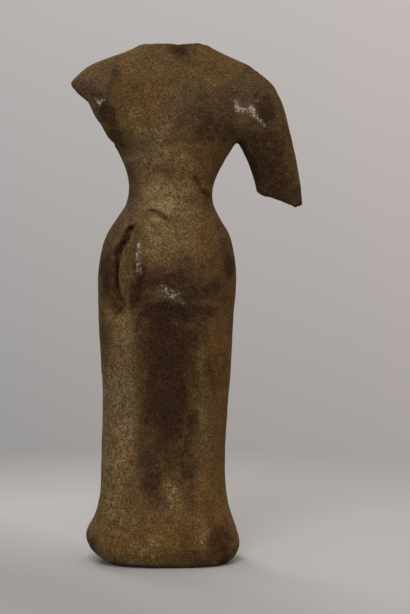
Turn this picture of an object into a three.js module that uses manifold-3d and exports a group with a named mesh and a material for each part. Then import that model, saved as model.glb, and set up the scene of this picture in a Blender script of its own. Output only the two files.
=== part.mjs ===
// A standing goddess carved from one block of sandstone, as it survives: the head is gone at the base of
// the neck, the left arm at the shoulder and the right arm at the elbow. The figure wears a long wrapped
// skirt that flares at the hem, and it stands on the flat underside of that hem.
//
// Millimetres, +Z up. The figure faces -Y, so its own left side is +X. The origin is on the floor, in the
// middle of the hem. The shape is a stack of horizontal sections, joined with the upper arm and with the
// forms of the front, and cut where the stone has broken and where cloth and flesh fold.
import * as THREE from "three";
import { ParametricGeometry } from "three/addons/geometries/ParametricGeometry.js";
import { mergeVertices } from "three/addons/utils/BufferGeometryUtils.js";
import Module from "manifold-3d";

const wasm = await Module();
wasm.setup();

// Driving dimensions
const HEIGHT = 500;
const DEEP = 200; // reaches well past the figure's front and back
const HEM_CORNER = 2.7; // squareness of the section at the hem: 2 is an ellipse
const SKIRT_CORNER = 2.4;
const BODY_CORNER = 2.25;
const ARM_CORNER = 2.1;
const PLEAT_CORNER = 5;
const ARM_TOP = 479;
const ARMPIT = 407; // arm and side part below this height
const BLEND = 4; // how softly arm and side meet above it: more is sharper
const DRAWN_IN = 0.8;
const OVERLAP = 3; // how far skirt, body and arm reach up inside the shoulders
const PAST_BREAK = 6; // how far the sections go on above the break at the neck
const ARM_END = 336; // the arm's lowest section, below the break at the elbow
const RINGS = { body: 42, arm: 8, shoulders: 18, pleat: 28 };
const SLICES = { body: 48, arm: 24, shoulders: 60, pleat: 16 };

// Sections of the body from the floor to the neck: how far each reaches from the middle to the figure's
// right, left, back and front, and its squareness.
const bodySections = [
  { z: 0, right: 65, left: 52, back: 41, front: 41, corner: HEM_CORNER },
  { z: 5, right: 70.5, left: 60.5, back: 45, front: 45, corner: HEM_CORNER },
  { z: 16, right: 75, left: 71.5, back: 47.5, front: 47.5, corner: HEM_CORNER },
  { z: 28, right: 73, left: 74, back: 46, front: 46, corner: 2.6 },
  { z: 44, right: 67.5, left: 66.5, back: 42.5, front: 42, corner: 2.5 },
  { z: 66, right: 63, left: 61, back: 39, front: 38.5, corner: SKIRT_CORNER },
  { z: 98, right: 61.2, left: 59.6, back: 37, front: 36.5, corner: SKIRT_CORNER },
  { z: 150, right: 63.7, left: 57.8, back: 36.5, front: 37.5, corner: SKIRT_CORNER },
  { z: 200, right: 67.2, left: 59.6, back: 38, front: 39, corner: SKIRT_CORNER },
  { z: 240, right: 69.2, left: 62, back: 39.5, front: 39.5, corner: 2.35 },
  { z: 258, right: 71, left: 62.2, back: 42.5, front: 39.5, corner: 2.3 },
  { z: 284, right: 71.6, left: 61.6, back: 48, front: 39, corner: 2.3 },
  { z: 302, right: 69, left: 58.4, back: 46, front: 38, corner: BODY_CORNER },
  { z: 318, right: 64.8, left: 53, back: 40, front: 36.5, corner: BODY_CORNER },
  { z: 335, right: 55, left: 42.2, back: 32, front: 34, corner: BODY_CORNER },
  { z: 347, right: 49.3, left: 35, back: 27.5, front: 31, corner: BODY_CORNER },
  { z: 360, right: 48.4, left: 32, back: 25.5, front: 28.5, corner: BODY_CORNER },
  { z: 374, right: 52.6, left: 33.2, back: 26, front: 28, corner: BODY_CORNER },
  { z: 390, right: 61, left: 38.4, back: 28, front: 29, corner: BODY_CORNER },
  { z: 404, right: 69.8, left: 46, back: 30, front: 30.5, corner: BODY_CORNER },
  { z: 418, right: 78, left: 62, back: 32, front: 31.5, corner: BODY_CORNER },
  { z: 436, right: 87, left: 78, back: 33, front: 31.5, corner: BODY_CORNER },
  { z: 452, right: 92, left: 86.5, back: 32, front: 30, corner: 2.3 },
  { z: 462, right: 93, left: 88, back: 30, front: 28, corner: 2.4 },
  { z: 472, right: 91.5, left: 80, back: 27.5, front: 25.5, corner: 2.4 },
  { z: 481, right: 83.1, left: 68, back: 25, front: 23.5, corner: 2.3 },
  { z: 488, right: 67, left: 51, back: 23.5, front: 22, corner: 2.2 },
  { z: 494, right: 54.5, left: 34, back: 22, front: 21, corner: 2.2 },
  { z: 500, right: 44, left: 22, back: 20.5, front: 20, corner: 2.2 },
  { z: 506, right: 38, left: 16, back: 19, front: 19, corner: 2.2 },
];

// Sections of the right upper arm, from past the break at the elbow up to where it dies into the shoulder
const armSections = [
  { z: ARM_END, right: 136.5, left: -94, back: 19, front: 19, corner: ARM_CORNER },
  { z: 352, right: 135.4, left: -92.5, back: 19.5, front: 19.5, corner: ARM_CORNER },
  { z: 370, right: 133.4, left: -89, back: 20.5, front: 20.5, corner: ARM_CORNER },
  { z: 390, right: 129.6, left: -82.2, back: 22, front: 22, corner: ARM_CORNER },
  { z: 404, right: 126.4, left: -75, back: 23, front: 23, corner: ARM_CORNER },
  { z: 420, right: 122.5, left: -67, back: 24.5, front: 24, corner: ARM_CORNER },
  { z: 438, right: 118, left: -62, back: 25.5, front: 24.5, corner: ARM_CORNER },
  { z: 452, right: 112.8, left: -62, back: 24, front: 23, corner: ARM_CORNER },
  { z: 462, right: 107.2, left: -64, back: 21, front: 20, corner: ARM_CORNER },
  { z: 469, right: 100, left: -66, back: 17, front: 16, corner: ARM_CORNER },
  { z: 474, right: 93.5, left: -68, back: 11, front: 10, corner: ARM_CORNER },
  { z: ARM_TOP, right: 85, left: -72, back: 0, front: 0, corner: ARM_CORNER },
];
// The line of each break seen from behind, as [x, z], and which way the lost stone lies from it
const neckBreak = { line: [[-52, 499], [-34, 500], [-15, 498.6], [-4, 499.8], [30, 499.4]], lost: [0, 60] };
const shoulderBreak = {
  line: [[88, 464], [77.5, 451], [69.5, 445], [61, 429], [49.3, 409], [45, 405.5]],
  lost: [60, -7.5],
};
const elbowBreak = {
  line: [[-88, 361], [-99, 356], [-108, 354], [-119, 350.2], [-130, 346.5], [-140, 345]],
  lost: [0, -45],
};

// Forms of the front
const BREAST = { radius: 25.5, depth: 18, spacing: 60, y: -24, z: 424 };
const BODY_LEAN = -9; // the middle of the upper body stands this far to the figure's right
const NAVEL = { x: -6, z: 338, radius: 4.5 };
const FRONT_MIDDLE = -4; // the middle of the waist at the front, to the figure's right
const WAIST_ROLL = { z: 306, rise: 13, radius: 3.4, reach: 54, out: 1, sunk: 9, drawnIn: 0.1, steps: 14 };
const PLEAT = { top: 298, bottom: 1, topHalfWidth: 9, hemHalfWidth: 16, proud: 2.4, root: 5 };

// Forms of the back
const HIP_FOLD = {
  top: 329,
  bottom: 250,
  outer: 52,
  tipAcross: 30,
  width: 12,
  slope: 38,
  facing: 45,
  thick: 30,
  bend: 0.6, // how far up and down its half height the outer side turns in
};
const creases = [
  { name: "small of the back", from: [14, 348], to: [-14, 336], width: 3, depth: 2.6 },
  { name: "right of the waist", from: [-29, 379], to: [-45, 358], width: 3, depth: 2.4 },
  { name: "inside the hip fold", from: [23, 327], to: [30.5, 252], width: 2.6, depth: 2.2 },
  { name: "left shoulder", from: [46, 478], to: [54, 448], width: 4.5, depth: 1.8 },
];

// A row of sections as a smooth curve of each of their sizes over height
function smoothSections(sections) {
  const sizes = ["right", "left", "back", "front", "corner"];
  const heights = sections.map((s) => s.z);
  const values = sections.flatMap((s) => sizes.map((size) => s[size]));
  const curve = new THREE.CubicInterpolant(heights, values, sizes.length);
  return (z) => {
    const [right, left, back, front, corner] = curve.evaluate(z);
    return { z, right, left, back, front, corner };
  };
}

const bodyAt = smoothSections(bodySections);
const armAt = smoothSections(armSections);

// How deep a section is at a place across it, at the back (side 1) or at the front (side -1)
function depthOf(section, x, side) {
  const middle = (section.left - section.right) / 2;
  const half = (section.left + section.right) / 2;
  const across = Math.min(1, Math.abs(x - middle) / half);
  const depth = side > 0 ? section.back : section.front;
  return depth * (1 - across ** section.corner) ** (1 / section.corner);
}

// The closed skin over a stack of sections at given heights, with a point on the axis at each end. Each row
// of the skin goes once round its section, closer together at the figure's sides.
function loft(sectionAt, heights, slices, depth = depthOf) {
  const rows = heights.length + 1;
  const skin = (u, v, target) => {
    const row = Math.round(v * rows);
    const section = sectionAt(heights[THREE.MathUtils.clamp(row - 1, 0, rows - 2)]);
    const middle = (section.left - section.right) / 2;
    if (row === 0 || row === rows) {
      target.set(middle, 0, section.z);
      return;
    }
    const slice = Math.round(u * slices) % slices;
    const angle = (slice / slices) * 2 * Math.PI;
    const x = middle + ((section.left + section.right) / 2) * Math.cos(angle);
    const side = Math.sign(slices / 2 - slice);
    const y = slice === 0 ? 0 : side * depth(section, x, side);
    target.set(x, y, section.z);
  };
  return new ParametricGeometry(skin, slices, rows);
}

// Evenly spaced heights from the bottom to the top, both included
function levels(bottom, top, count) {
  return Array.from({ length: count }, (_, i) => bottom + ((top - bottom) * i) / (count - 1));
}

// Above the armpit one section holds both the body and the arm that grows out of it
function shouldersAt(z) {
  const body = bodyAt(z);
  const arm = armAt(z);
  const right = z < ARM_TOP ? Math.max(body.right, arm.right) : body.right;
  return { ...body, right, body, arm };
}

function depthOfShoulders({ body, arm }, x, side) {
  return (depthOf(body, x, side) ** BLEND + depthOf(arm, x, side) ** BLEND) ** (1 / BLEND);
}

// Below the armpit a section is its own, and above it the section is drawn in, so that it ends inside the
// shoulders
function belowArmpit(sectionAt) {
  return (z) => {
    const section = sectionAt(z);
    const share = z > ARMPIT ? DRAWN_IN : 1;
    const middle = (section.left - section.right) / 2;
    const half = ((section.left + section.right) / 2) * share;
    return {
      ...section,
      right: half - middle,
      left: half + middle,
      back: section.back * share,
      front: section.front * share,
    };
  };
}

// A closed geometry as a solid that can be joined and cut
function solid(geometry) {
  const bare = geometry.clone();
  bare.deleteAttribute("normal");
  bare.deleteAttribute("uv");
  const merged = mergeVertices(bare, 1e-3);
  const made = new wasm.Manifold(
    new wasm.Mesh({
      numProp: 3,
      vertProperties: merged.attributes.position.array,
      triVerts: new Uint32Array(merged.index.array),
    }),
  );
  return made;
}

function geometryOf(made) {
  const mesh = made.getMesh();
  const geometry = new THREE.BufferGeometry();
  geometry.setAttribute("position", new THREE.BufferAttribute(mesh.vertProperties, 3));
  geometry.setIndex(new THREE.BufferAttribute(mesh.triVerts, 1));
  geometry.computeVertexNormals();
  return geometry;
}

// Where the body's skin lies at a place seen from behind (side 1) or from the front (side -1)
function skinDepth(x, z, side) {
  return side * depthOf(bodyAt(z), x, side);
}

// The stone beyond a break: everything on one side of its line, through the whole depth
function beyondBreak({ line, lost }) {
  const far = line.map(([x, z]) => [x + lost[0], z + lost[1]]).reverse();
  const outline = new THREE.Shape([...line, ...far].map(([x, z]) => new THREE.Vector2(x, z)));
  const slab = new THREE.ExtrudeGeometry(outline, { depth: DEEP, bevelEnabled: false });
  slab.rotateX(Math.PI / 2).translate(0, DEEP / 2, 0);
  return solid(slab);
}

// A boat-shaped cut along the skin of the back, for a crease
function creaseCut({ from, to, width, depth }) {
  const [a, b] = [from, to].map(([x, z]) => new THREE.Vector3(x, skinDepth(x, z, 1), z));
  const length = a.distanceTo(b);
  const boat = new THREE.SphereGeometry(1, 10, 8).scale(length / 2, depth, width);
  const along = b.clone().sub(a).normalize();
  const out = new THREE.Vector3(0, 1, 0).addScaledVector(along, -along.y).normalize();
  const across = new THREE.Vector3().crossVectors(along, out);
  const place = new THREE.Matrix4().makeBasis(along, out, across);
  const x = (from[0] + to[0]) / 2;
  const z = (from[1] + to[1]) / 2;
  place.setPosition(x, skinDepth(x, z, 1), z);
  return solid(boat.applyMatrix4(place));
}

// The deep fold on the left hip: a crescent whose floor starts at the skin on its outer side and runs down
// to the sharp inner edge. It is drawn with its outer side on the left, standing on the hip.
function hipFoldCut() {
  const { top, bottom, outer, tipAcross, width, slope, facing, thick, bend } = HIP_FOLD;
  const half = (top - bottom) / 2;
  const middle = (top + bottom) / 2;
  const tailAcross = width * 1.5;
  const innerBend = bend * 0.8;
  const crescent = new THREE.Shape();
  crescent.moveTo(tipAcross, half);
  crescent.quadraticCurveTo(0, half * bend, 0, 0);
  crescent.quadraticCurveTo(0, -half * bend, tailAcross, -half);
  crescent.quadraticCurveTo(width, -half * innerBend, width, 0);
  crescent.quadraticCurveTo(width, half * innerBend, tipAcross, half);
  const prism = new THREE.ExtrudeGeometry(crescent, {
    depth: thick,
    bevelEnabled: false,
    curveSegments: 8,
  });
  const turn = THREE.MathUtils.degToRad(facing - slope);
  const inwards = new THREE.Vector3(-Math.cos(turn), Math.sin(turn), 0);
  const outwards = new THREE.Vector3(Math.sin(turn), Math.cos(turn), 0);
  const place = new THREE.Matrix4().makeBasis(inwards, new THREE.Vector3(0, 0, 1), outwards);
  place.setPosition(outer, skinDepth(outer, middle, 1), middle);
  return solid(prism.applyMatrix4(place));
}

function breast(side) {
  const ball = new THREE.SphereGeometry(1, 20, 14);
  ball.rotateX(Math.PI / 2);
  ball.scale(BREAST.radius, BREAST.depth, BREAST.radius);
  ball.translate(BODY_LEAN + (side * BREAST.spacing) / 2, BREAST.y, BREAST.z);
  return solid(ball);
}

// The rolled upper edge of the skirt, low across the front and rising to the hips, where it dies into them
function waistRoll() {
  const { z, rise, radius, reach, out, sunk, drawnIn, steps } = WAIST_ROLL;
  const points = [];
  for (let i = 0; i <= steps; i++) {
    const share = (2 * i) / steps - 1;
    const dying = share ** 8;
    const x = FRONT_MIDDLE + share * reach;
    const height = z + rise * share ** 2;
    const depth = skinDepth(x, height, -1) + out + sunk * dying;
    points.push(new THREE.Vector3(x * (1 - drawnIn * dying), depth, height));
  }
  const section = new THREE.Shape().absarc(0, 0, radius, 0, 2 * Math.PI);
  const tube = new THREE.ExtrudeGeometry(section, {
    steps: 2 * steps + 2,
    curveSegments: 4,
    extrudePath: new THREE.CatmullRomCurve3(points),
  });
  return solid(tube);
}

// The end of the wrapped cloth, hanging in one flat pleat down the middle of the front
function frontPleat() {
  const { top, bottom, topHalfWidth, hemHalfWidth, proud, root } = PLEAT;
  const sectionAt = (z) => {
    const fall = 1 - z / top;
    const half = THREE.MathUtils.lerp(topHalfWidth, hemHalfWidth, fall ** 1.5);
    const middle = THREE.MathUtils.lerp(FRONT_MIDDLE, 0, fall);
    return {
      z,
      left: half + middle,
      right: half - middle,
      back: root,
      front: bodyAt(z).front + proud,
      corner: PLEAT_CORNER,
    };
  };
  return solid(loft(sectionAt, levels(bottom, top, RINGS.pleat), SLICES.pleat));
}

function carveFigure() {
  const inside = ARMPIT + OVERLAP;
  const bodyHeights = [...levels(0, ARMPIT, RINGS.body), inside];
  const armHeights = [...levels(ARM_END, ARMPIT, RINGS.arm), inside];
  const shoulderHeights = levels(ARMPIT, HEIGHT + PAST_BREAK, RINGS.shoulders);
  let figure = solid(loft(belowArmpit(bodyAt), bodyHeights, SLICES.body));
  const arm = solid(loft(belowArmpit(armAt), armHeights, SLICES.arm));
  const shoulders = solid(loft(shouldersAt, shoulderHeights, SLICES.shoulders, depthOfShoulders));
  for (const form of [shoulders, arm, breast(1), breast(-1), waistRoll(), frontPleat()]) {
    figure = figure.add(form);
  }
  const navel = new THREE.SphereGeometry(NAVEL.radius, 10, 8);
  navel.translate(NAVEL.x, skinDepth(NAVEL.x, NAVEL.z, -1) - 1, NAVEL.z);
  const cuts = [
    beyondBreak(neckBreak),
    beyondBreak(shoulderBreak),
    beyondBreak(elbowBreak),
    hipFoldCut(),
    solid(navel),
    ...creases.map(creaseCut),
  ];
  for (const cut of cuts) {
    figure = figure.subtract(cut);
  }
  return figure;
}

const sandstone = new THREE.MeshStandardMaterial({
  name: "patinated sandstone",
  color: 0x5c4a30,
  roughness: 0.85,
  metalness: 0,
});

const figure = new THREE.Mesh(geometryOf(carveFigure()), sandstone);
figure.name = "figure";

const statue = new THREE.Group();
statue.name = "statue";
statue.add(figure);

export default statue;
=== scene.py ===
"""A carved sandstone goddess seen from behind: the looks of the stone, the floor under it and the light"""

import math
from itertools import product

import bmesh
import bpy
import numpy as np
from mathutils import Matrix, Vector


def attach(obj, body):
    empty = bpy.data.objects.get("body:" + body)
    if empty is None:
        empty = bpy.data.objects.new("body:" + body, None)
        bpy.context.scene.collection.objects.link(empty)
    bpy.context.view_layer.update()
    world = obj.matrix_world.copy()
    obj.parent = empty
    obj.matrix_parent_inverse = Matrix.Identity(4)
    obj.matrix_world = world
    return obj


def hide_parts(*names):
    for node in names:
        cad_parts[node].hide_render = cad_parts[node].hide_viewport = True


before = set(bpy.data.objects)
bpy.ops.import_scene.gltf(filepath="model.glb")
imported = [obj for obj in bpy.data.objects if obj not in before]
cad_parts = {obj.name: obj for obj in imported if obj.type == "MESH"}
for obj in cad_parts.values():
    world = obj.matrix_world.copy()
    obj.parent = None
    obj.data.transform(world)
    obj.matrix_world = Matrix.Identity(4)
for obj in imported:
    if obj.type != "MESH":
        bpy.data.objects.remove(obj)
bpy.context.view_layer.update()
scene = bpy.context.scene

# The figure: a goddess carved in the round from one block of fine brown sandstone, rubbed smooth, and broken
# at the neck, the left shoulder and the right elbow. It is one piece, and it stands on the flat underside of
# its skirt. It faces -Y, and its own left side is +X. The sizes of this section are in millimetres.
MM = 0.001

# Horizontal sections of skirt and body, one to a row: height, and how far the stone reaches to the figure's
# right, left, back and front. The last number is the squareness of the section, where 2 is an ellipse.
BODY = np.array([
    [0, 65, 52, 41, 41, 2.7],
    [5, 70.5, 60.5, 45, 45, 2.7],
    [16, 75, 71.5, 47.5, 47.5, 2.7],
    [28, 73, 74, 46, 46, 2.6],
    [44, 67.5, 66.5, 42.5, 42, 2.5],
    [66, 63, 61, 39, 38.5, 2.4],
    [98, 61.2, 59.6, 37, 36.5, 2.4],
    [150, 63.7, 57.8, 36.5, 37.5, 2.4],
    [200, 67.2, 59.6, 38, 39, 2.4],
    [240, 69.2, 62, 39.5, 39.5, 2.35],
    [258, 71, 62.2, 42.5, 39.5, 2.3],
    [284, 71.6, 61.6, 48, 39, 2.3],
    [302, 69, 58.4, 46, 38, 2.25],
    [318, 64.8, 53, 40, 36.5, 2.25],
    [335, 55, 42.2, 32, 34, 2.25],
    [347, 49.3, 35, 27.5, 31, 2.25],
    [360, 48.4, 32, 25.5, 28.5, 2.25],
    [374, 52.6, 33.2, 26, 28, 2.25],
    [390, 61, 38.4, 28, 29, 2.25],
    [404, 69.8, 46, 30, 30.5, 2.25],
    [418, 78, 62, 32, 31.5, 2.25],
    [436, 87, 78, 33, 31.5, 2.25],
    [452, 92, 86.5, 32, 30, 2.3],
    [462, 93, 88, 30, 28, 2.4],
    [472, 91.5, 80, 27.5, 25.5, 2.4],
    [481, 83.1, 68, 25, 23.5, 2.3],
    [488, 67, 51, 23.5, 22, 2.2],
    [494, 54.5, 34, 22, 21, 2.2],
    [500, 44, 22, 20.5, 20, 2.2],
    [506, 38, 16, 19, 19, 2.2],
])
# The right upper arm, whose sections all lie to the figure's right, so that the reach to its left is negative
ARM = np.array([
    [336, 136.5, -94, 19, 19, 2.1],
    [352, 135.4, -92.5, 19.5, 19.5, 2.1],
    [370, 133.4, -89, 20.5, 20.5, 2.1],
    [390, 129.6, -82.2, 22, 22, 2.1],
    [404, 126.4, -75, 23, 23, 2.1],
    [420, 122.5, -67, 24.5, 24, 2.1],
    [438, 118, -62, 25.5, 24.5, 2.1],
    [452, 112.8, -62, 24, 23, 2.1],
    [462, 107.2, -64, 21, 20, 2.1],
    [469, 100, -66, 17, 16, 2.1],
    [474, 93.5, -68, 11, 10, 2.1],
    [479, 85, -72, 4, 4, 2.1],
])
ARM_TOP = 477
ARMPIT_SOFTNESS = 6

# The outline of each break seen from behind: stone above the neck line, outside the shoulder line and below
# the elbow line is gone. The faces are rough, with lumps given as height, size and shift, and the edges worn.
NECK_BREAK = {
    "x": [-52, -34, -15, -4, 30],
    "z": [499.8, 500.6, 499.2, 500.6, 500],
    "rough": [(0.6, 11, 20), (0.4, 4, 10)],
    "worn": 1.0,
}
SHOULDER_BREAK = {
    "z": [350, 396, 403, 405.5, 409, 419, 429, 438, 445, 448, 452, 457, 464, 480],
    "x": [160, 61, 47, 45, 49.3, 54.7, 61, 66.3, 69.5, 73, 78.5, 82.6, 88, 110],
    "rough": [(1.0, 10, 30), (0.5, 4, 60)],
    "worn": 1.0,
    "slant": 0.8,  # the line runs aslant, so it is nearer than it is straight across
}
ELBOW_BREAK = {
    "x": [-138, -130, -119, -108, -99, -92, -86],
    "z": [345, 345.6, 349.3, 353.5, 354.6, 358.4, 361],
    "rough": [(1.1, 9, 0), (0.5, 3.4, 0)],
    "worn": 0.9,
}


def along(table, z):
    """The sizes of a stack of sections at the heights z, on a smooth curve through its rows"""
    heights, sizes = table[:, 0], table[:, 1:]
    slopes = np.diff(sizes, axis=0) / np.diff(heights)[:, None]
    lean = np.zeros_like(sizes)
    lean[1:-1] = (slopes[1:] + slopes[:-1]) / 2
    row = np.clip(np.searchsorted(heights, z, side="right") - 1, 0, len(heights) - 2)
    gap = (heights[row + 1] - heights[row])[..., None]
    t = np.clip((z[..., None] - heights[row][..., None]) / gap, 0, 1)
    start, end = t * t * (2 * t - 3) + 1, t * t * (3 - 2 * t)
    curve = start * sizes[row] + end * sizes[row + 1]
    curve += gap * (t * (t - 1) ** 2 * lean[row] + t * t * (t - 1) * lean[row + 1])
    return np.moveaxis(curve, -1, 0)


TINY = 1e-6


def outside_sections(table, x, y, z):
    """Roughly how far a point lies outside a stack of sections, and below zero inside it"""
    right, left, back, front, corner = along(table, z)
    half, middle = (left + right) / 2, (left - right) / 2
    depth = np.where(y > 0, back, front)
    across = np.abs(x - middle) / half + TINY
    deep = np.abs(y) / depth + TINY
    size = (across**corner + deep**corner) ** (1 / corner)
    steep = np.hypot((across / size) ** (corner - 1) / half, (deep / size) ** (corner - 1) / depth)
    return (size - 1) / steep


def joined(a, b, softness):
    """Two distances as that of both forms together, which meet in a fillet"""
    share = np.clip(0.5 + 0.5 * (b - a) / softness, 0, 1)
    return b + (a - b) * share - softness * share * (1 - share)


def cut(a, b, softness):
    """The distance of the form a where it isn't also outside b, with its new edge slightly worn"""
    return -joined(-a, -b, softness)


def ease(low, high, value):
    """0 below low and 1 above high, with a smooth step between; the other way round if high is the lower"""
    t = np.clip((value - low) / (high - low), 0, 1)
    return t * t * (3 - 2 * t)


def bell(*offsets):
    """1 where the offsets are 0, and falling off smoothly around it"""
    return np.exp(-sum(offset**2 for offset in offsets))


CELLS = 32
LATTICE = np.random.default_rng(11).random((CELLS, CELLS, CELLS)) * 2 - 1
LATTICE_AXES = ((0.80, 0.60, 0.0), (0.48, -0.64, 0.60), (0.36, -0.48, -0.80))


def lumps(x, y, z, size, shift=0.0):
    """Smooth unevenness between -1 and 1, whose bumps are about size across"""
    x, y, z = np.broadcast_arrays(x, y, z)
    turned = [ax * x + ay * y + az * z for ax, ay, az in LATTICE_AXES]
    turned[0] = turned[0] + shift
    cell = [np.floor(t / size).astype(int) for t in turned]
    part = [t / size - c for t, c in zip(turned, cell)]
    part = [p * p * (3 - 2 * p) for p in part]
    total = 0
    for corner in product((0, 1), repeat=3):
        weight = 1
        for step, p in zip(corner, part):
            weight = weight * (p if step else 1 - p)
        total = total + weight * LATTICE[tuple((c + step) % CELLS for c, step in zip(cell, corner))]
    return total


def uneven(x, y, z, bumps, shift=0):
    """Several lumps together, each given as height, size and shift"""
    return sum(height * lumps(x, y, z, size, own + shift) for height, size, own in bumps)


# The deep fold on the left hip, seen from behind as a leaf in a hollow: each line gives x over height. The
# skin slopes down from the hip to the crevice, steps up sharply to the leaf, and steps again at the groove.
CREVICE = {
    "z": [249.6, 253.5, 261.4, 271.3, 281, 288.9, 294.5, 301.4, 307.3, 314.2, 318.2, 321.7, 325, 329],
    "x": [36, 36.8, 39, 40.8, 41.7, 40.8, 39.6, 38.4, 36, 31.3, 30, 29, 27, 23.6],
}
GROOVE = {
    "z": [251, 262, 275, 283, 295, 306, 316, 327],
    "x": [31.4, 30.3, 26.5, 25.1, 24.6, 24.4, 22.2, 19],
}
FOLD_DEPTH = 7.6
HIP_SLOPE = (8, 7)  # how wide the slope from the hip down to the crevice is: low down, and in the hook on top
LEAF_SLOPE = (1.6, 2)  # the same for the rise from the crevice to the leaf
LEAF_SUNK = 1.5
GROOVE_DEPTH, GROOVE_WIDTH = 1.7, 1.5
RIDGE, RIDGE_WIDTH, RIDGE_IN = 1.1, 2.6, 4.5  # the leaf's proud edge, and how far inside the groove it is
ROLL, ROLL_WIDTH = 1.2, 4.5  # the proud lip of the hip, at the head of the slope
HOLLOW = {"x": 20, "z": 266, "depth": 1.3, "width": 4, "height": 14}  # beside the lower end of the leaf

# The heights at which each form of the fold stops and is whole, first at its foot and then at its head
FOLD_SPAN = ((249, 260), (333, 324))
GROOVE_SPAN = ((252, 262), (329, 320))
RIDGE_SPAN = ((275, 290), (322, 312))


def within(span, z):
    """1 between the two ends of a form, and tapering to 0 at both"""
    foot, head = span
    return ease(*foot, z) * ease(*head, z)


def hook(z):
    """0 in the fold's straight lower part, and 1 in the hook on top of it"""
    return ease(293, 308, z)


def hip_fold(x, y, z):
    """How deep the hip fold is cut into the skin of the back at a place"""
    crevice = np.interp(z, CREVICE["z"], CREVICE["x"])
    groove = np.interp(z, GROOVE["z"], GROOVE["x"])
    out = x - crevice
    hip_side, leaf_side = (low + (high - low) * hook(z) for low, high in (HIP_SLOPE, LEAF_SLOPE))
    slope = FOLD_DEPTH * np.clip(1 - out / hip_side, 0, 1) ** 1.3 * (out >= 0)
    step = (FOLD_DEPTH - LEAF_SUNK) * ease(-leaf_side, 0, out) * (out < 0)
    leaf = LEAF_SUNK * ease(groove - crevice - 1.5, -4, out) * (out < 0)
    roll = ROLL * bell((out - hip_side - 1) / ROLL_WIDTH)
    wide = (slope + step + leaf - roll) * within(FOLD_SPAN, z)
    inner = GROOVE_DEPTH * bell((x - groove) / GROOVE_WIDTH) * within(GROOVE_SPAN, z)
    ridge = RIDGE * bell((x - groove + RIDGE_IN) / RIDGE_WIDTH) * within(RIDGE_SPAN, z)
    hollow = HOLLOW["depth"] * bell((x - HOLLOW["x"]) / HOLLOW["width"], (z - HOLLOW["z"]) / HOLLOW["height"])
    return ease(0, 12, y) * (wide + inner - ridge + hollow)


# Creases pressed into the back, each a line of points: x, z, width, depth. The upper side is the steeper one.
CREASES = [
    [
        (13, 342.3, 1.5, 0.8), (10, 341.8, 1.8, 2.6), (6, 340.9, 2.2, 3.8), (2, 339, 2.4, 4.6),
        (-1.5, 336.9, 2.3, 4.6),
    ],
    [(-1.5, 336.9, 2.3, 4.6), (-5, 334.4, 2.1, 3.4), (-8.7, 332.4, 2.4, 1.9), (-14, 332, 3, 1)],
    [
        (-28, 375, 2.4, 0.8), (-33, 371.4, 3.3, 3.8), (-35.7, 366.3, 2.2, 4), (-37.9, 362, 1.9, 3.6),
        (-40.9, 358.9, 1.9, 3.6),
    ],
    [(-40.9, 358.9, 1.9, 3.4), (-44, 356.5, 2.3, 3.8), (-45.5, 352.8, 2.2, 2.8), (-47.5, 349, 2.4, 1)],
    [(-20, 358, 2, 0.3), (-25, 351, 3, 2), (-31, 344, 3, 0.4)],
    [
        (-36, 201, 1.6, 0.2), (-41, 196, 2, 1.3), (-45, 189, 2, 1.3), (-46, 178, 1.8, 1.2),
        (-47, 164, 1.8, 0.2),
    ],
    [(-34, 186, 1.6, 0.2), (-37, 180, 1.8, 0.8), (-40, 172, 1.6, 0.2)],
    [(34, 253, 1.4, 2.2), (39, 246, 1.6, 2.4), (44, 240, 1.9, 1.3), (49, 230, 2.6, 0.4)],
    [(42, 482, 3, 0.4), (44.5, 474, 3, 1.1), (49, 460, 3.4, 1.2), (51, 446, 4, 0.4)],
    [(24, 428, 4, 0.3), (14, 416, 4, 0.8), (5, 405, 4, 0.3)],
    [(3, 396, 5, 0.3), (1, 388, 5, 0.8), (-3, 380, 5, 0.3)],
    [(62, 300, 3, 0.2), (58, 280, 3.5, 0.7), (56, 262, 3.5, 0.2)],
]
UPPER_SIDE, LOWER_SIDE = 0.75, 1.3  # how far each side reaches, as a share of the width


def crease(x, y, z):
    """How deep the creases of the back are at a place"""
    total = 0
    for line in CREASES:
        for start, end in zip(line, line[1:]):
            x0, z0, width0, depth0 = start
            run_x, run_z, wider, deeper = (b - a for a, b in zip(start, end))
            share = np.clip(((x - x0) * run_x + (z - z0) * run_z) / (run_x**2 + run_z**2), 0, 1)
            off_x, off_z = x - x0 - share * run_x, z - z0 - share * run_z
            width = (width0 + wider * share) * np.where(off_z > 0, UPPER_SIDE, LOWER_SIDE)
            total = np.maximum(total, (depth0 + deeper * share) * bell(np.hypot(off_x, off_z) / width))
    return total * ease(0, 10, y)


# Dents and chips in the hem: x, y, z, size, depth
DENTS = [
    (66, 6, 8, 3.5, 2.2), (70, -4, 15, 3, 1.6), (61, 24, 4, 4, 2.2), (50, 36, 3, 3.5, 1.6),
    (71, 12, 20, 4, 1), (-68, 16, 7, 4, 1.8), (-58, 32, 3, 3.5, 1.5), (-74, 4, 18, 3, 1),
    (20, 44, 2, 5, 1.2), (-20, 44, 2, 4, 1.2), (40, -42, 6, 5, 1.8), (-50, -38, 10, 4, 1.6),
]
HEM_WEAR = 2.2  # how much of the hem's lower edge is gone behind on the left
HEM_EDGE = 1.6

# The unevenness of the hand-worked skin as height, size and shift, and the small dents scattered over it
SKIN_UNEVEN = [(0.7, 42, 0), (0.32, 17, 50), (0.13, 6, 90)]
SMALL_DENTS = {"depth": 0.5, "size": 7, "shift": 130}

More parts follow.
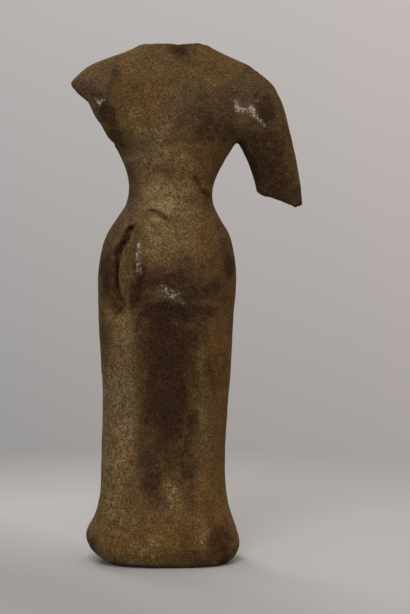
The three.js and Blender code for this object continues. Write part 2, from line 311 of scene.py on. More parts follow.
# The forms of the front
BREASTS = [(-39, -24, 424), (21, -24, 424)]
BREAST_SIZE = (25.5, 18, 25.5)
BREAST_SOFTNESS = 5
NAVEL = {"x": -6, "z": 338, "depth": 3.2, "width": 3.4, "height": 3.8}
WAIST_ROLL = {"middle": -4, "reach": 54, "z": 306, "rise": 13, "proud": 3.2, "width": 4.6}
PLEAT = {"top": 298, "top_half": 9, "hem_half": 16, "lean": 4, "proud": 2.4, "edge": 0.9}
PLEAT_LINE = {"in": 3.2, "depth": 0.8, "width": 0.9}  # cut along the pleat, inside its edges


def front_relief(x, y, z):
    """How far the carving of the front stands out of the skin at a place"""
    share = (x - WAIST_ROLL["middle"]) / WAIST_ROLL["reach"]
    height = WAIST_ROLL["z"] + WAIST_ROLL["rise"] * share**2
    roll = WAIST_ROLL["proud"] * bell((z - height) / WAIST_ROLL["width"]) * ease(1.0, 0.8, np.abs(share))
    top, edge = PLEAT["top"], PLEAT["edge"]
    fall = np.clip(1 - z / top, 0, 1)
    half = PLEAT["top_half"] + (PLEAT["hem_half"] - PLEAT["top_half"]) * fall**1.5
    off = np.abs(x + PLEAT["lean"] * (1 - fall))
    pleat = PLEAT["proud"] * ease(half + edge, half - edge, off) * ease(top + 3, top - 1, z)
    line = bell((off - half + PLEAT_LINE["in"]) / PLEAT_LINE["width"]) * ease(top - 2, top - 8, z)
    navel = NAVEL["depth"] * bell((x - NAVEL["x"]) / NAVEL["width"], (z - NAVEL["z"]) / NAVEL["height"])
    return ease(0, -12, y) * (np.maximum(roll, pleat - PLEAT_LINE["depth"] * line) - navel)


def outside_stone(x, y, z):
    """Roughly how far a point lies outside the carved stone, and below zero inside it"""
    arm = np.maximum(outside_sections(ARM, x, y, z), z - ARM_TOP)
    elbow = np.interp(x, ELBOW_BREAK["x"], ELBOW_BREAK["z"]) - z
    arm = cut(arm, elbow + uneven(x, y, z, ELBOW_BREAK["rough"]), ELBOW_BREAK["worn"])
    stone = joined(outside_sections(BODY, x, y, z), arm, ARMPIT_SOFTNESS)
    for place in BREASTS:
        ball = [(p - c) / r for p, c, r in zip((x, y, z), place, BREAST_SIZE)]
        size = np.sqrt(sum(b * b for b in ball)) + TINY
        steep = np.sqrt(sum((b / r) ** 2 for b, r in zip(ball, BREAST_SIZE))) / size + TINY
        stone = joined(stone, (size - 1) / steep, BREAST_SOFTNESS)
    stone = stone + hip_fold(x, y, z) + crease(x, y, z) - front_relief(x, y, z)
    stone = stone + uneven(x, y, z, SKIN_UNEVEN)
    scattered = ease(0.45, 0.8, lumps(x, y, z, SMALL_DENTS["size"], SMALL_DENTS["shift"]))
    stone = stone + SMALL_DENTS["depth"] * scattered
    for dent_x, dent_y, dent_z, size, depth in DENTS:
        stone = stone + depth * bell((x - dent_x) / size, (y - dent_y) / size, (z - dent_z) / size)
    shoulder = (x - np.interp(z, SHOULDER_BREAK["z"], SHOULDER_BREAK["x"])) * SHOULDER_BREAK["slant"]
    stone = cut(stone, shoulder + uneven(x, y, z, SHOULDER_BREAK["rough"]), SHOULDER_BREAK["worn"])
    neck = z - np.interp(x, NECK_BREAK["x"], NECK_BREAK["z"])
    stone = cut(stone, neck + uneven(x, y, z, NECK_BREAK["rough"]), NECK_BREAK["worn"])
    worn = HEM_WEAR * ease(-20, 45, x) * ease(10, 36, y)
    return cut(stone, worn - z, HEM_EDGE)


def skin_over(outside, low, high, step):
    """Corners and four-sided faces of the surface where outside is zero: one corner in each cell of a grid
    that the surface crosses, in the middle of its crossings"""
    ticks = [np.arange(a, b + step, step) for a, b in zip(low, high)]
    value = outside(*np.meshgrid(*ticks, indexing="ij", sparse=True))
    cells = np.array(value.shape) - 1
    total, count, faces = np.zeros((cells.prod(), 3)), np.zeros(cells.prod()), []
    for axis in range(3):
        one, two = np.eye(3, dtype=int)[[axis - 2, axis - 1]]
        start = np.moveaxis(np.moveaxis(value, axis, 0)[:-1], 0, axis)
        end = np.moveaxis(np.moveaxis(value, axis, 0)[1:], 0, axis)
        edge = np.argwhere((start < 0) != (end < 0))
        a, b = start[tuple(edge.T)], end[tuple(edge.T)]
        place = edge + np.outer(a / (a - b), np.eye(3)[axis])
        around = [edge - i * one - j * two for i, j in ((0, 0), (1, 0), (1, 1), (0, 1))]
        ring = [np.ravel_multi_index(cell.T, cells) for cell in around]
        for cell in ring:
            count += np.bincount(cell, minlength=len(count))
            for k in range(3):
                total[:, k] += np.bincount(cell, place[:, k], minlength=len(count))
        ring = np.stack(ring, axis=1)
        faces.append(np.where((a < b)[:, None], ring, ring[:, ::-1]))
    used = count > 0
    number = np.cumsum(used) - 1
    return total[used] / count[used, None] * step + np.array(low), number[np.concatenate(faces)]


def settled(points, rounds):
    """Points moved along the field's slope until they lie on the stone's skin, and their outward normals"""
    feel = 0.15  # how far to either side the slope is felt
    stride = 1.2  # the longest move of one round
    for turn in range(rounds + 1):
        rise = [
            outside_stone(*(points + way).T) - outside_stone(*(points - way).T) for way in np.eye(3) * feel
        ]
        slope = np.stack(rise, axis=1) / (2 * feel)
        steep = np.sqrt((slope**2).sum(1)) + TINY
        if turn == rounds:
            return points, slope / steep[:, None]
        move = np.clip(outside_stone(*points.T) / steep, -stride, stride)
        points = points - slope * (move / steep)[:, None]


COARSE = 3.5  # the grid of the first skin, which is halved once all over and twice at the fold
STONE_SPACE = ((-144, -58, -5), (98, 58, 508))  # a box with some room around the stone
SETTLING_ROUNDS = 5
corners, faces = skin_over(outside_stone, *STONE_SPACE, COARSE)
stone_mesh = bpy.data.meshes.new("figure")
stone_mesh.from_pydata(corners * MM, [], faces.tolist())
figure = bpy.data.objects.new("stone_figure", stone_mesh)
scene.collection.objects.link(figure)
smoother = figure.modifiers.new("finer", "SUBSURF")
smoother.levels = 1
smoother.render_levels = 1
bpy.context.view_layer.update()
finer = bpy.data.meshes.new_from_object(figure.evaluated_get(bpy.context.evaluated_depsgraph_get()))
figure.modifiers.clear()
figure.data = finer

# Around the hip fold the skin is divided once more. These limits are in metres, as the mesh is.
FOLD_X, FOLD_Y, FOLD_Z = (0.018, 0.054), 0.012, (0.240, 0.335)


def by_the_fold(corner):
    x, y, z = corner.co
    return FOLD_X[0] < x < FOLD_X[1] and y > FOLD_Y and FOLD_Z[0] < z < FOLD_Z[1]


body = bmesh.new()
body.from_mesh(finer)
inside = [edge for edge in body.edges if all(by_the_fold(corner) for corner in edge.verts)]
bmesh.ops.subdivide_edges(body, edges=inside, cuts=1, use_grid_fill=True)
body.to_mesh(finer)
body.free()

points = np.zeros(len(finer.vertices) * 3)
finer.vertices.foreach_get("co", points)
points, normals = settled(points.reshape(-1, 3) / MM, SETTLING_ROUNDS)
finer.vertices.foreach_set("co", (points * MM).ravel())
finer.update()
finer.shade_smooth()

# Where the patina differs, seen from behind, with some painted shade among it: the middle of each patch as x
# and z, how far it reaches across and up, its tilt in degrees, and how strong it is. All edges are soft and
# wander. First the dark places.
DARK = [
    # Across the seat the dark is partly stain and partly painted shadow under the seat's overhang
    (-17, 271, 33, 15, 0, 0.72),  # across the seat
    (-34, 288, 20, 9, 0, 0.5),
    (-44, 264, 18, 13, 0, 0.65),
    (-27, 260, 26, 9, 0, 0.8),
    (-16, 246, 37, 14, 0, 1.0),
    (-5, 205, 24, 42, 0, 1.0),  # down the middle of the skirt
    (-6, 165, 23, 60, 0, 0.97),
    (-28, 140, 9, 17, 0, 0.85),
    (-27, 205, 10, 42, 0, 0.82),
    (-38, 232, 8, 20, 0, 0.5),
    (-24, 119, 7, 13, 0, 0.8),
    (-4, 120, 21, 17, 0, 0.66),
    (10, 92, 9, 26, 0, 0.8),
    (6, 70, 10, 12, 0, 0.55),
    (-25, 91, 8, 12, 0, 0.85),
    (-26, 72, 6, 14, 0, 0.45),
    (-46, 436, 30, 24, 0, 0.47),  # the right shoulder blade
    (-74, 448, 22, 14, 0, 0.34),
    (-52, 418, 30, 12, 0, 0.58),
    (-101, 434, 12, 19, -20, 0.86),  # the arm
    (-91, 410, 16, 18, -15, 0.62),
    (-104, 386, 19, 52, -15, 0.9),
    (-86, 382, 6, 36, -19, 0.9),
    (-111, 366, 14, 24, -15, 1.0),
    (-112, 354, 26, 12, 0, 0.92),
    (-15.5, 494, 9, 7.5, 0, 0.85),  # the nape
    (-28, 498, 16, 2.5, 0, 0.45),
    (53, 277, 7.5, 28, 0, 0.88),  # the left hip, beside the fold
    (51, 304, 8, 18, 10, 0.5),
    (46, 324, 6, 20, 28, 0.55),
    (40, 251, 8, 8, 0, 0.7),
    (22.5, 324, 3, 6, 0, 0.6),
    (23, 262, 6.5, 13, 10, 0.95),
    (19, 277, 3.5, 12, 8, 0.85),
    (10, 254, 9, 9, 0, 0.7),
    (-65, 288, 5, 10, 0, 0.8),  # the right hip
    (-62, 308, 6, 28, -18, 0.32),
    (-62, 262, 10, 44, 0, 0.3),
    (-57, 24, 12, 15, 0, 0.76),  # the hem
    (-40, 12, 28, 8, 0, 0.55),
    (-63, 10, 11, 12, 0, 0.75),
    (-22, 31, 5, 14, 0, 0.35),
    (-28, 80, 9, 9, 0, 0.5),
    (-45, 190, 6, 9, 0, 0.58),
    (-49, 176, 5, 10, 0, 0.66),
    (-35, 166, 4, 14, 0, 0.45),
    (-47, 52, 7, 17, 0, 0.35),
    (68, 12, 8, 16, 0, 0.7),
    (-8, 380, 5, 7, 0, 0.2),  # the back
    (-36, 393, 9, 8, 0, 0.38),
    (-8, 441, 8, 8, 0, 0.25),
    (-22, 332, 9, 6, 0, 0.32),
    (-30, 352, 8, 7, 0, 0.3),
    (20, 402, 9, 6, 0, 0.3),
    # Under the left shoulder the dark is partly patina and partly painted shade where the body curves away
    # below the break
    (51, 433, 7, 22, -30, 0.72),  # under the left shoulder
    (43, 411, 9, 15, -25, 0.62),
    (79, 453, 17, 7, 45, 0.6),
    (74, 458, 14, 11, 0, 0.4),
    (46.5, 463, 3.5, 20, 15, 0.5),
    (-120, 402, 7, 50, -11, 0.5),
    # Partly patina, partly painted shade: this patch and those at x -62 and -95 a few lines down darken the
    # right shoulder's top, which faces up into the light
    (-100, 460, 26, 18, 20, 0.38),
    (-52, 170, 12, 100, 0, 0.22),
    # Painted shade along the groove between the leaf and its ridge in the hip fold
    (24.4, 302, 1.6, 19, 0, 0.45),
    (-62, 478, 56, 14, 18, 0.2),
    (-95, 470, 26, 8, 25, 0.44),
    (-110, 350, 30, 10, 0, 0.95),
    (-130, 353, 11, 13, 0, 0.8),
    (56, 214, 8, 22, 0, 0.35),  # the sides
    (31, 362, 7, 24, 0, 0.4),
    (-46, 385, 12, 34, 0, 0.24),
    (-45, 350, 6, 12, 0, 0.35),
    (-114, 424, 7, 13, -15, 0.4),
    # These two thin bands are painted shadow along the underside of the seat
    (9, 260, 13, 5, 0, 0.75),
    (-52, 257, 14, 5, 0, 0.5),
    (15, 113, 6, 12, 0, 0.5),
    (-19, 83, 6, 7, 0, 0.5),
    (39, 338, 4, 9, 32, 0.4),
]
# The dark places of the front, given the same way: the first six are painted shade under the waist roll,
# beside the pleat and under and between the breasts
FRONT_DARK_AND_SHADE = [
    (-8, 319, 44, 6, 0, 0.5),  # under the waist roll
    (-24, 190, 10, 80, 0, 0.5),  # beside the pleat
    (22, 140, 8, 60, 0, 0.4),
    (-9, 412, 7, 22, 0, 0.4),  # between and below the breasts
    (-39, 397, 18, 5, 0, 0.5),
    (21, 397, 18, 5, 0, 0.5),
    (-104, 392, 16, 42, -14, 0.6),
    (-62, 462, 30, 10, -15, 0.3),
    (50, 462, 20, 9, 20, 0.35),
    (-20, 492, 16, 6, 0, 0.5),
    (44, 26, 20, 12, 0, 0.3),
    (-48, 16, 26, 8, 0, 0.4),
]
# Back again: the warmer places, then the paler ones, mostly rubbed paler with a few painted highlights, then
# the greenish and the greyer ones
OCHRE = [
    (33, 455, 17, 12, 0, 0.7),
    (15, 452, 18, 16, 0, 0.6),
    (30, 438, 20, 11, 0, 0.75),
    (8, 436, 14, 13, 0, 0.45),
    (15, 472, 32, 12, 0, 0.15),
    (46, 440, 8, 10, 0, 0.85),
    (-96, 464, 26, 14, 20, 0.25),
    (-55, 480, 20, 10, 0, 0.5),
    (-53, 200, 13, 75, 0, 0.8),
    (-52, 100, 12, 50, 0, 0.6),
    (-121, 402, 6, 48, -11, 0.7),
    (-113, 440, 8, 20, -30, 0.5),
    (-8, 31, 38, 17, 0, 0.75),
    (-6, 16, 40, 8, 0, 0.6),
    (-55, 38, 22, 26, 0, 0.75),
    (43, 22, 16, 10, 0, 0.5),
    (-39, 372, 12, 34, 0, 0.75),
    (-57, 398, 14, 16, 0, 0.65),
    (-46, 350, 9, 20, 0, 0.7),
    (-18, 376, 10, 14, 0, 0.4),
    (-42, 319, 14, 22, 0, 0.6),
    (-11, 304, 12, 10, 0, 0.55),
    (6, 372, 9, 9, 0, 0.3),
    (-50, 488, 16, 8, 0, 0.5),
    (52, 310, 7, 18, 0, 0.55),
    (45.5, 282, 2.6, 22, 0, 0.9),
    (-63, 247, 10, 34, 0, 0.75),
    (-42, 66, 20, 22, 0, 0.55),
    (30, 34, 12, 12, 0, 0.3),
    (-9, 76, 10, 13, 0, 0.5),
    (-34, 145, 4, 9, 0, 0.7),
    (-60, 120, 8, 60, 0, 0.9),
    (-29, 108, 5, 5, 0, 0.6),
    (-2, 318, 16, 10, 0, 0.35),
    (45, 196, 10, 14, 0, 0.35),
    (-64, 300, 8, 24, 0, 0.7),
    (-46, 22, 22, 14, 0, 0.6),
    (-52, 385, 8, 30, 0, 0.5),
]
PALE = [
    # The first two, and the one at x 0, z 308, are partly paler stone and partly a painted highlight on the
    # small of the back, which faces up into the light
    (1, 352, 17, 19, 0, 0.95),
    (0, 326, 32, 18, -10, 0.5),
    (9, 397, 24, 16, 20, 0.45),
    (-20, 388, 18, 18, 0, 0.4),
    (-22, 360, 12, 18, 0, 0.5),
    (41, 150, 14, 60, 0, 0.6),
    (44, 110, 12, 36, 0, 0.55),
    (35, 230, 14, 17, 0, 0.7),
    (-37, 147, 5, 12, 0, 0.7),
    (4, 267, 8, 9, 0, 0.5),
    (12, 384, 12, 16, 0, 0.35),
    (-10, 424, 12, 10, 0, 0.35),
    (-37, 203, 5, 9, 0, 0.4),
    (-9, 73, 9, 12, 0, 0.55),
    (47, 72, 12, 30, 0, 0.3),
    (0, 308, 24, 13, 0, 0.45),
    (33, 290, 7, 18, 0, 0.3),
    (-6, 268, 9, 4, 0, 0.4),
    # A painted highlight on a raised edge of the leaf in the hip fold
    (31, 262, 1.6, 9, 8, 0.6),
    (-20, 444, 22, 14, 0, 0.2),
    (-6, 392, 9, 12, 0, 0.5),
    (13, 418, 10, 6, 20, 0.45),
    (25, 436, 7, 6, 0, 0.4),
    (-42, 450, 8, 5, 0, 0.35),
    (-41.5, 32, 3.5, 16, 0, 0.5),
    (10, 22, 12, 7, 0, 0.35),
    (50, 239, 6, 8, 0, 0.5),
    (24, 229, 5, 14, 0, 0.5),
    (54, 130, 6, 50, 0, 0.5),
]
OLIVE = [
    (33, 292, 7, 26, 0, 1.0),
    (24.4, 300, 2, 22, 0, 1.0),
    (18, 318, 5, 13, 0, 0.6),
    (24, 336, 12, 7, 0, 0.5),
    (17, 399, 13, 16, 0, 0.45),
    (19, 162, 5, 92, 0, 0.75),
    (53, 226, 6, 12, 0, 0.5),
    (-31, 112, 8, 22, 0, 0.6),
    (-36, 170, 6, 50, 0, 0.5),
    (-7, 92, 9, 8, 0, 0.7),
    (26, 250, 9, 8, 0, 0.3),
    (46, 415, 7, 18, -25, 0.7),
    (-60, 300, 7, 14, 0, 0.5),
    (-55, 395, 8, 24, 0, 0.4),
    (28, 66, 16, 14, 0, 0.3),
]
GREY = [
    (-44, 438, 32, 22, 0, 0.6),
    (-70, 426, 30, 18, 0, 0.35),
    (42, 170, 18, 50, 0, 0.45),
    (74, 458, 20, 14, 0, 0.6),
    (50, 300, 12, 40, 15, 0.5),
    (-18, 272, 30, 12, 0, 0.3),
    (20, 396, 16, 22, 0, 0.35),
    (28, 355, 10, 30, 0, 0.4),
    (-86, 450, 30, 24, 0, 0.55),
    (62, 448, 16, 20, -30, 0.5),
]
# Places scuffed down to white, from one point to another, with a width and how much of it has gone white
SCUFFS = [
    (-71.5, 444.5, -73.5, 439.5, 2.8, 1.0), (-74, 438.5, -76.5, 437, 3.6, 1.0),
    (-79.5, 437.5, -83, 436.5, 2.5, 0.9), (-85.5, 439.5, -88, 434, 2.6, 0.9),
    (-83.5, 433.5, -85, 433, 1.6, 0.8), (-90, 430.5, -97.5, 423, 1.9, 1.0),
    (-91.5, 446, -92.5, 446, 1.1, 0.7), (-103, 405.5, -103.5, 405, 0.8, 0.8),
    (-34, 428, -34.5, 427, 0.8, 0.5), (63, 448, 59, 443, 1.2, 0.9), (59, 443, 54, 448, 1.4, 0.95),
    (21.3, 310, 21.8, 303, 2.0, 0.75), (22.5, 300, 21.5, 292, 2.2, 0.8),
    (20.8, 285.8, 20.2, 284, 2.6, 1.0), (-2, 267.5, -13, 262, 4.8, 0.6), (-5, 266, -13, 260, 3.4, 0.5),
    (-14, 259, -22, 254, 2.2, 0.36), (31, 6.5, 18, 5.5, 1.6, 0.5), (-20, 5, -21, 5, 1.4, 0.5),
]
SCUFF_EDGE = 1.8  # a scuff fades over this much to either side of its edge

# How far the edges of the patches wander, and how the patina varies broadly, as height, size and shift
WANDER = [(3.6, 15, 0), (2.6, 7, 30), (1.4, 3.4, 60)]
BROAD = [(0.55, 70, 44), (0.3, 26, 77), (0.15, 9, 99)]
SMALL_PATCH = 9  # the edges of a patch smaller than this wander less
PATCH_EDGE = 1.5  # the softness that even the smallest patch has

# How far from the crevice the fold's painted shade and stain end on the hip's slope, and how far they are
# full, each low down and in the hook, and how they start on the leaf's side
FOLD_DARK_END, FOLD_DARK_FULL = (7, 8.2), (2.5, 6.5)
FOLD_DARK_START = (-1.8, -0.4)
FOLD_DARK_SPAN = ((250, 257), (331, 326))

x, y, z = points.T


def patches(places, shift, square, soft):
    """How strongly a list of patches covers each point, from 0 to 1, with square or round corners"""
    cover = np.zeros_like(x)
    wander = uneven(x, y, z, WANDER, shift)
    for px, pz, across, high, turn, strength in places:
        c, s = math.cos(math.radians(turn)), math.sin(math.radians(turn))
        u, v = ((x - px) * c + (z - pz) * s) / across, ((z - pz) * c - (x - px) * s) / high
        far = (np.abs(u) ** square + np.abs(v) ** square) ** (1 / square)
        least = min(across, high)
        inside = (1 - far) * least + wander * min(1, least / SMALL_PATCH)
        edge = soft * least + PATCH_EDGE
        cover = np.maximum(cover, strength * ease(-edge, edge, inside))
    return cover


def scuffing():
    """How bare each point of the back is"""
    bared = np.zeros_like(x)
    for x0, z0, x1, z1, width, bare in SCUFFS:
        run_x, run_z = x1 - x0, z1 - z0
        share = np.clip(((x - x0) * run_x + (z - z0) * run_z) / (run_x**2 + run_z**2), 0, 1)
        gone = np.hypot(x - x0 - share * run_x, z - z0 - share * run_z)
        bared = np.maximum(bared, bare * ease(width + SCUFF_EDGE, width - SCUFF_EDGE, gone))
    return bared


def near(distance, close, away):
    """1 where a distance is less than close, and 0 where it is more than away, to either side"""
    return ease(away, close, np.abs(distance))


behind = ease(-0.15, 0.25, normals[:, 1])
in_front = 1 - behind
broad = uneven(x, y, z, BROAD)
fold, creases = hip_fold(x, y, z), crease(x, y, z)
out = x - np.interp(z, CREVICE["z"], CREVICE["x"])
end, full = (low + (high - low) * hook(z) for low, high in (FOLD_DARK_END, FOLD_DARK_FULL))
# Painted shade with some stain: the hip's slope down into the fold's crevice faces away from the light and is
# painted dark
fold_shade_and_stain = ease(end, full, out) * ease(*FOLD_DARK_START, out) * within(FOLD_DARK_SPAN, z) * behind
# Painted shade: where the surface turns side-on to the camera's axis, on the flanks between the hips and the
# shoulders, it is painted darker
painted_side_shade = ease(0.3, 0.0, np.abs(normals[:, 1])) * (z < 440) * ease(150, 210, z)

dark = behind * patches(DARK, 5, 2.5, 0.42) + in_front * patches(FRONT_DARK_AND_SHADE, 65, 2.4, 0.5)
# The broad unevenness adds patina, and the flanks add painted shade
dark = dark + 0.2 * ease(0.0, 0.45, broad) + 0.25 * painted_side_shade
# The fold's painted shade and stain
dark = np.maximum(dark, (0.7 + 0.2 * hook(z)) * fold_shade_and_stain)
# Painted shade in the creases: they are painted darker here and warmer two lines down
dark = np.maximum(dark, 0.55 * ease(0.3, 3.2, creases))
ochre = behind * patches(OCHRE, 13, 2, 0.5) + in_front * 0.8 * ease(0.05, -0.35, broad)
ochre = np.maximum(ochre, ease(0.2, 2.4, creases))
pale = behind * patches(PALE, 23, 2, 0.5) + in_front * 0.6 * ease(0.05, 0.4, lumps(x, y, z, 55, 12))
olive = behind * patches(OLIVE, 37, 2, 0.5) + in_front * 0.6 * ease(0.1, 0.5, lumps(x, y, z, 48, 112))
grey = behind * patches(GREY, 47, 2, 0.5)
# Painted shade, with some dirt: deep in the hip fold's crevice and the deepest creases, and along the hem's
# lowest edge where it meets the floor
shade_and_dirt = 0.95 * ease(4.7, 6.5, fold) + 0.4 * ease(2.2, 4.6, creases) + 0.45 * ease(7, 1, z)
neck_off = z - np.interp(x, NECK_BREAK["x"], NECK_BREAK["z"])
shoulder_off = x - np.interp(z, SHOULDER_BREAK["z"], SHOULDER_BREAK["x"])
elbow_off = z - np.interp(x, ELBOW_BREAK["x"], ELBOW_BREAK["z"])
broken = near(neck_off, 0.3, 1.5) + near(shoulder_off, 0.5, 2.5) * (z > 398)
broken = broken + near(elbow_off, 0.5, 2.0) * (x < -86)
covers = {
    "dark": dark, "ochre": ochre, "pale": pale, "olive": olive, "grey": grey,
    "scuffed": scuffing() * behind, "shade_and_dirt": np.clip(shade_and_dirt, 0, 1), "broken": np.clip(broken, 0, 1),
}
for name, values in covers.items():
    finer.attributes.new(name, "FLOAT", "POINT").data.foreach_set("value", values.astype(np.float32))


class Maths:
    """A shader value that Python's own operators work on, by adding Math nodes to its tree"""

    def __init__(self, tree, socket):
        self.tree, self.socket = tree, socket

    def maths(self, operation, *values, clamp=False):
        return node(self.tree, "Math", {"operation": operation, "use_clamp": clamp}, dict(enumerate(values)))

    def __add__(self, other):
        return self.maths("ADD", self, other)

    def __sub__(self, other):
        return self.maths("SUBTRACT", self, other)

    def __rsub__(self, other):
        return self.maths("SUBTRACT", other, self)

    def __mul__(self, other):
        return self.maths("MULTIPLY", self, other)

    def clamped(self):
        return self.maths("ADD", self, 0, clamp=True)

    def at_least(self, low):
        return self.maths("MAXIMUM", self, low)

    __radd__, __rmul__ = __add__, __mul__


def put(tree, slot, value):
    """Gives a socket a value or a link"""
    if isinstance(value, Maths):
        value = value.socket
    if isinstance(value, bpy.types.NodeSocket):
        tree.links.new(value, slot)
    else:
        slot.default_value = value


def node(tree, kind, settings=None, sockets=None, output=0):
    """Adds a node: first its settings, then the values or links of its sockets, by name or number"""
    made = tree.nodes.new("ShaderNode" + kind)
    for name, value in (settings or {}).items():
        setattr(made, name, value)
    for name, value in (sockets or {}).items():
        put(tree, made.inputs[name], value)
    return Maths(tree, made.outputs[output])


def mixed(tree, share, a, b, how="MIX"):
    """A colour between a and b"""
    return node(tree, "Mix", {"data_type": "RGBA", "blend_type": how}, {0: share, 6: a, 7: b}, 2)


BRIGHT = 0.70  # how bright this room's light makes a white surface that faces the camera


def paint(red, green, blue):
    """A colour as it looks in the light of this room, from 0 to 255, as the stone's own colour"""
    seen = [v / 255 for v in (red, green, blue)]
    even = [v / 12.92 if v < 0.0404 else ((v + 0.055) / 1.055) ** 2.4 for v in seen]
    return (*[v / BRIGHT for v in even], 1)


KHAKI = paint(86, 70, 45)
PALE_KHAKI = paint(118, 99, 67)
OCHRE_BROWN = paint(87, 61, 30)
OLIVE_BROWN = paint(66, 54, 26)
DARK_BROWN = paint(45, 30, 19)
# The colour of the painted shade, with some dirt, in the crevice, the deep creases and the hem's lowest edge
SHADE_AND_DIRT_BROWN = paint(24, 15, 8)
GREY_BROWN = paint(80, 67, 56)
DUST = paint(104, 94, 80)
WHITE = paint(170, 163, 152)
DARKEST_GRAIN = 0.62  # of the colour around it

stone = bpy.data.materials.new("sandstone")
stone.use_nodes = True
tree = stone.node_tree
shader = tree.nodes["Principled BSDF"]
place = node(tree, "TexCoord", output="Object")


def unevenness(size, detail=2, rough=0.5, stretch=1, shift=0):
    """Smooth noise around 0.5, with bumps of a size in millimetres, stretched along the figure's height"""
    scale = (1 / MM, 1 / MM, 1 / MM / stretch)
    moved = node(tree, "Mapping", {}, {"Vector": place, "Location": (shift, 0, 0), "Scale": scale})
    sockets = {"Vector": moved, "Scale": 1 / size, "Detail": detail, "Roughness": rough}
    return node(tree, "TexNoise", {}, sockets)


def cover(name):
    """How strongly a finish covers the stone at a place"""
    return node(tree, "Attribute", {"attribute_name": name}, output="Fac")


def broken_up(name, patchy, ragged=5.5):
    """A patch's cover, thicker and thinner in places, and with ragged edges"""
    share = cover(name)
    edge = (mottle - 0.5) * ragged + (clouds - 0.5) * ragged * 0.8
    return (share * (1 + (clouds - 0.5) * patchy) + share * (1 - share) * edge).clamped()


clouds = unevenness(5.5, 3, 0.65, shift=200)
blotches = unevenness(9, 1)
streaks = unevenness(5, stretch=2.5, shift=40)
mottle = unevenness(2.4, 2, 0.6, shift=80)
crumbs = unevenness(2.6, 3, 0.85, shift=160)
grains = unevenness(1.4, 0, shift=120)
grit = ((grains - 0.6) * 6).clamped()
pores = ((0.4 - grains) * 6).clamped()

# The stone's own colour, the patina over it, the grain, and what lies on top
tone = mixed(tree, ((blotches - 0.35) * 1.3).clamped(), KHAKI, OCHRE_BROWN)
tone = mixed(tree, ((streaks - 0.45) * 2.2).clamped() * 0.4, tone, OLIVE_BROWN)
tone = mixed(tree, ((crumbs - 0.52) * 3).clamped() * 0.2, tone, PALE_KHAKI)
tone = mixed(tree, broken_up("ochre", 1.0, 3) * 0.85, tone, OCHRE_BROWN)
tone = mixed(tree, broken_up("pale", 1.6) * 0.8, tone, PALE_KHAKI)
tone = mixed(tree, broken_up("olive", 1.6) * 0.7, tone, OLIVE_BROWN)
tone = mixed(tree, broken_up("grey", 1.2) * 0.6, tone, GREY_BROWN)
tone = mixed(tree, broken_up("dark", 1.2), tone, DARK_BROWN)
coarse_grain = (mottle - 0.5) * 1.6 + (clouds - 0.5) * 1.2 + (blotches - 0.5) * 0.7
speckle = (1 + coarse_grain + (grains - 0.5) * 1.3 + grit * 0.35).at_least(DARKEST_GRAIN)
shade = node(tree, "CombineColor", {}, {"Red": speckle, "Green": speckle, "Blue": speckle})
tone = mixed(tree, 1.0, tone, shade, "MULTIPLY")
tone = mixed(tree, broken_up("broken", 3) * 0.45, tone, OLIVE_BROWN)
# Painted shade, with some dirt, in the fold's crevice, the deep creases and along the hem's lowest edge
tone = mixed(tree, cover("shade_and_dirt") * 0.9, tone, SHADE_AND_DIRT_BROWN)
scuffed = cover("scuffed")
white = ((scuffed * 0.8 + (crumbs - 0.5) * 5 - 0.62) * 2).clamped() * (scuffed * 3).clamped()
tone = mixed(tree, scuffed * 0.3, tone, DUST)
tone = mixed(tree, white * 0.85, tone, WHITE)
put(tree, shader.inputs["Base Color"], tone)
put(tree, shader.inputs["Roughness"], 0.82 + (mottle - 0.5) * 0.3 - cover("dark") * 0.08)
shader.inputs["Specular IOR Level"].default_value = 0.05
bumps = grains * 0.5 + mottle * 0.5 - pores * 0.4 + cover("broken") * (clouds * 2 + mottle)
bump = node(tree, "Bump", {}, {"Height": bumps, "Strength": 0.6, "Distance": 0.0004})
put(tree, shader.inputs["Normal"], bump)
finer.materials.clear()
finer.materials.append(stone)
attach(figure, "root")
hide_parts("figure")

# The floor: a plain pale board, painted matt, which the figure stands on. Its colour carries painted shade,
# growing darker towards the camera and to the figure's left where the light falls off, and it melts into the
# backdrop some way behind the figure.
FLOOR_RADIUS = 1.6
FLOOR_CORNERS = 96
FADE = (0.35, 0.75)
PALE_BOARD = (0.54, 0.53, 0.516, 1)
BOARD_IN_PAINTED_SHADE = (0.388, 0.372, 0.36, 1)
floor_mesh = bpy.data.meshes.new("floor")
angles = [2 * math.pi * i / FLOOR_CORNERS for i in range(FLOOR_CORNERS)]
rim = [(FLOOR_RADIUS * math.cos(angle), FLOOR_RADIUS * math.sin(angle), 0) for angle in angles]
floor_mesh.from_pydata(rim, [], [list(range(FLOOR_CORNERS))])
floor = bpy.data.objects.new("floor", floor_mesh)
scene.collection.objects.link(floor)
board = bpy.data.materials.new("pale board")
board.use_nodes = True
tree = board.node_tree
lit = tree.nodes["Principled BSDF"]
lit.inputs["Roughness"].default_value = 0.9
spot = node(tree, "TexCoord", output="Object")
left, back = (node(tree, "SeparateXYZ", {}, {"Vector": spot}, name) for name in "XY")
# Painted shade: the board's colour darkens towards the camera and to the figure's left
painted_falloff = (back * 4 + left * 5.2).clamped()
put(tree, lit.inputs["Base Color"], mixed(tree, painted_falloff, PALE_BOARD, BOARD_IN_PAINTED_SHADE))
far = node(tree, "VectorMath", {"operation": "LENGTH"}, {"Vector": spot}, "Value")
fade = ((far - FADE[0]) * (1 / (FADE[1] - FADE[0]))).clamped()
blend = node(tree, "MixShader", {}, {0: fade, 1: lit.outputs[0], 2: node(tree, "BsdfTransparent")})
put(tree, tree.nodes["Material Output"].inputs["Surface"], blend)
floor_mesh.materials.append(board)

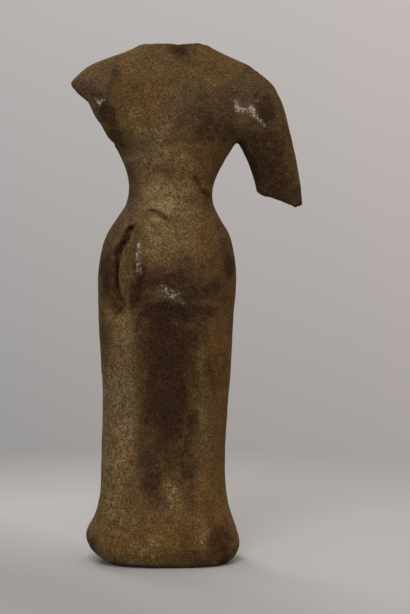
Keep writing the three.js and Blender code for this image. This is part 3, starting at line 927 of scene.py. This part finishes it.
# The light: a pale room that is brighter overhead and towards the camera's right, a large soft box above the
# camera, and a weaker one on the far side of the figure that keeps its front from going black.
ROOM_WHITE = (1, 0.98, 0.965, 1)
ROOM_PINK = (1, 0.9, 0.855, 1)
ROOM_LIGHT = 0.44
SOFT_BOXES = [
    {"name": "soft box", "place": (0.25, 1.25, 1.7), "size": 0.9, "energy": 13},
    {"name": "fill box", "place": (0.8, -1.3, 1.4), "size": 0.8, "energy": 8},
]
LIT_POINT = Vector((0, 0, 0.25))
room = bpy.data.worlds.new("room")
scene.world = room
room.use_nodes = True
tree = room.node_tree
towards = node(tree, "TexCoord", output="Generated")
side, up = (node(tree, "SeparateXYZ", {}, {"Vector": towards}, name) for name in "XZ")
side = node(tree, "Clamp", {}, {"Value": side, "Min": -0.25, "Max": 0.25})
up = node(tree, "Clamp", {}, {"Value": up, "Min": -0.2, "Max": 0.2})
tint = mixed(tree, (side * -3 + 0.5).clamped(), ROOM_WHITE, ROOM_PINK)
put(tree, tree.nodes["Background"].inputs["Color"], tint)
put(tree, tree.nodes["Background"].inputs["Strength"], ROOM_LIGHT + up * 0.6 - side * 0.3)
for soft_box in SOFT_BOXES:
    lamp = bpy.data.lights.new(soft_box["name"], "AREA")
    lamp.shape = "DISK"
    lamp.size = soft_box["size"]
    lamp.energy = soft_box["energy"]
    box = bpy.data.objects.new(soft_box["name"], lamp)
    box.location = soft_box["place"]
    box.rotation_euler = (LIT_POINT - box.location).to_track_quat("-Z", "Y").to_euler()
    scene.collection.objects.link(box)
scene.view_settings.view_transform = "Standard"

# The camera: it stands 1.7 m behind the figure, a little above its middle, and looks slightly down on it. Its
# lens is worked out from the picture's height in pixels and from how large the figure is in it.
CAMERA_PLACE = (-0.0417, 1.700, 0.358)
CAMERA_DROP = 0.110  # how far its axis falls on the way to the figure
CAMERA_TILT = math.atan2(CAMERA_DROP, CAMERA_PLACE[1])
IMAGE_HEIGHT = 614
FOCAL_PIXELS = 1755
SENSOR = 36
camera = bpy.data.objects.new("camera", bpy.data.cameras.new("camera"))
camera.location = CAMERA_PLACE
camera.rotation_euler = (math.pi / 2 - CAMERA_TILT, 0, math.pi)
camera.data.sensor_width = SENSOR
camera.data.lens = SENSOR * FOCAL_PIXELS / IMAGE_HEIGHT
scene.collection.objects.link(camera)
scene.camera = camera
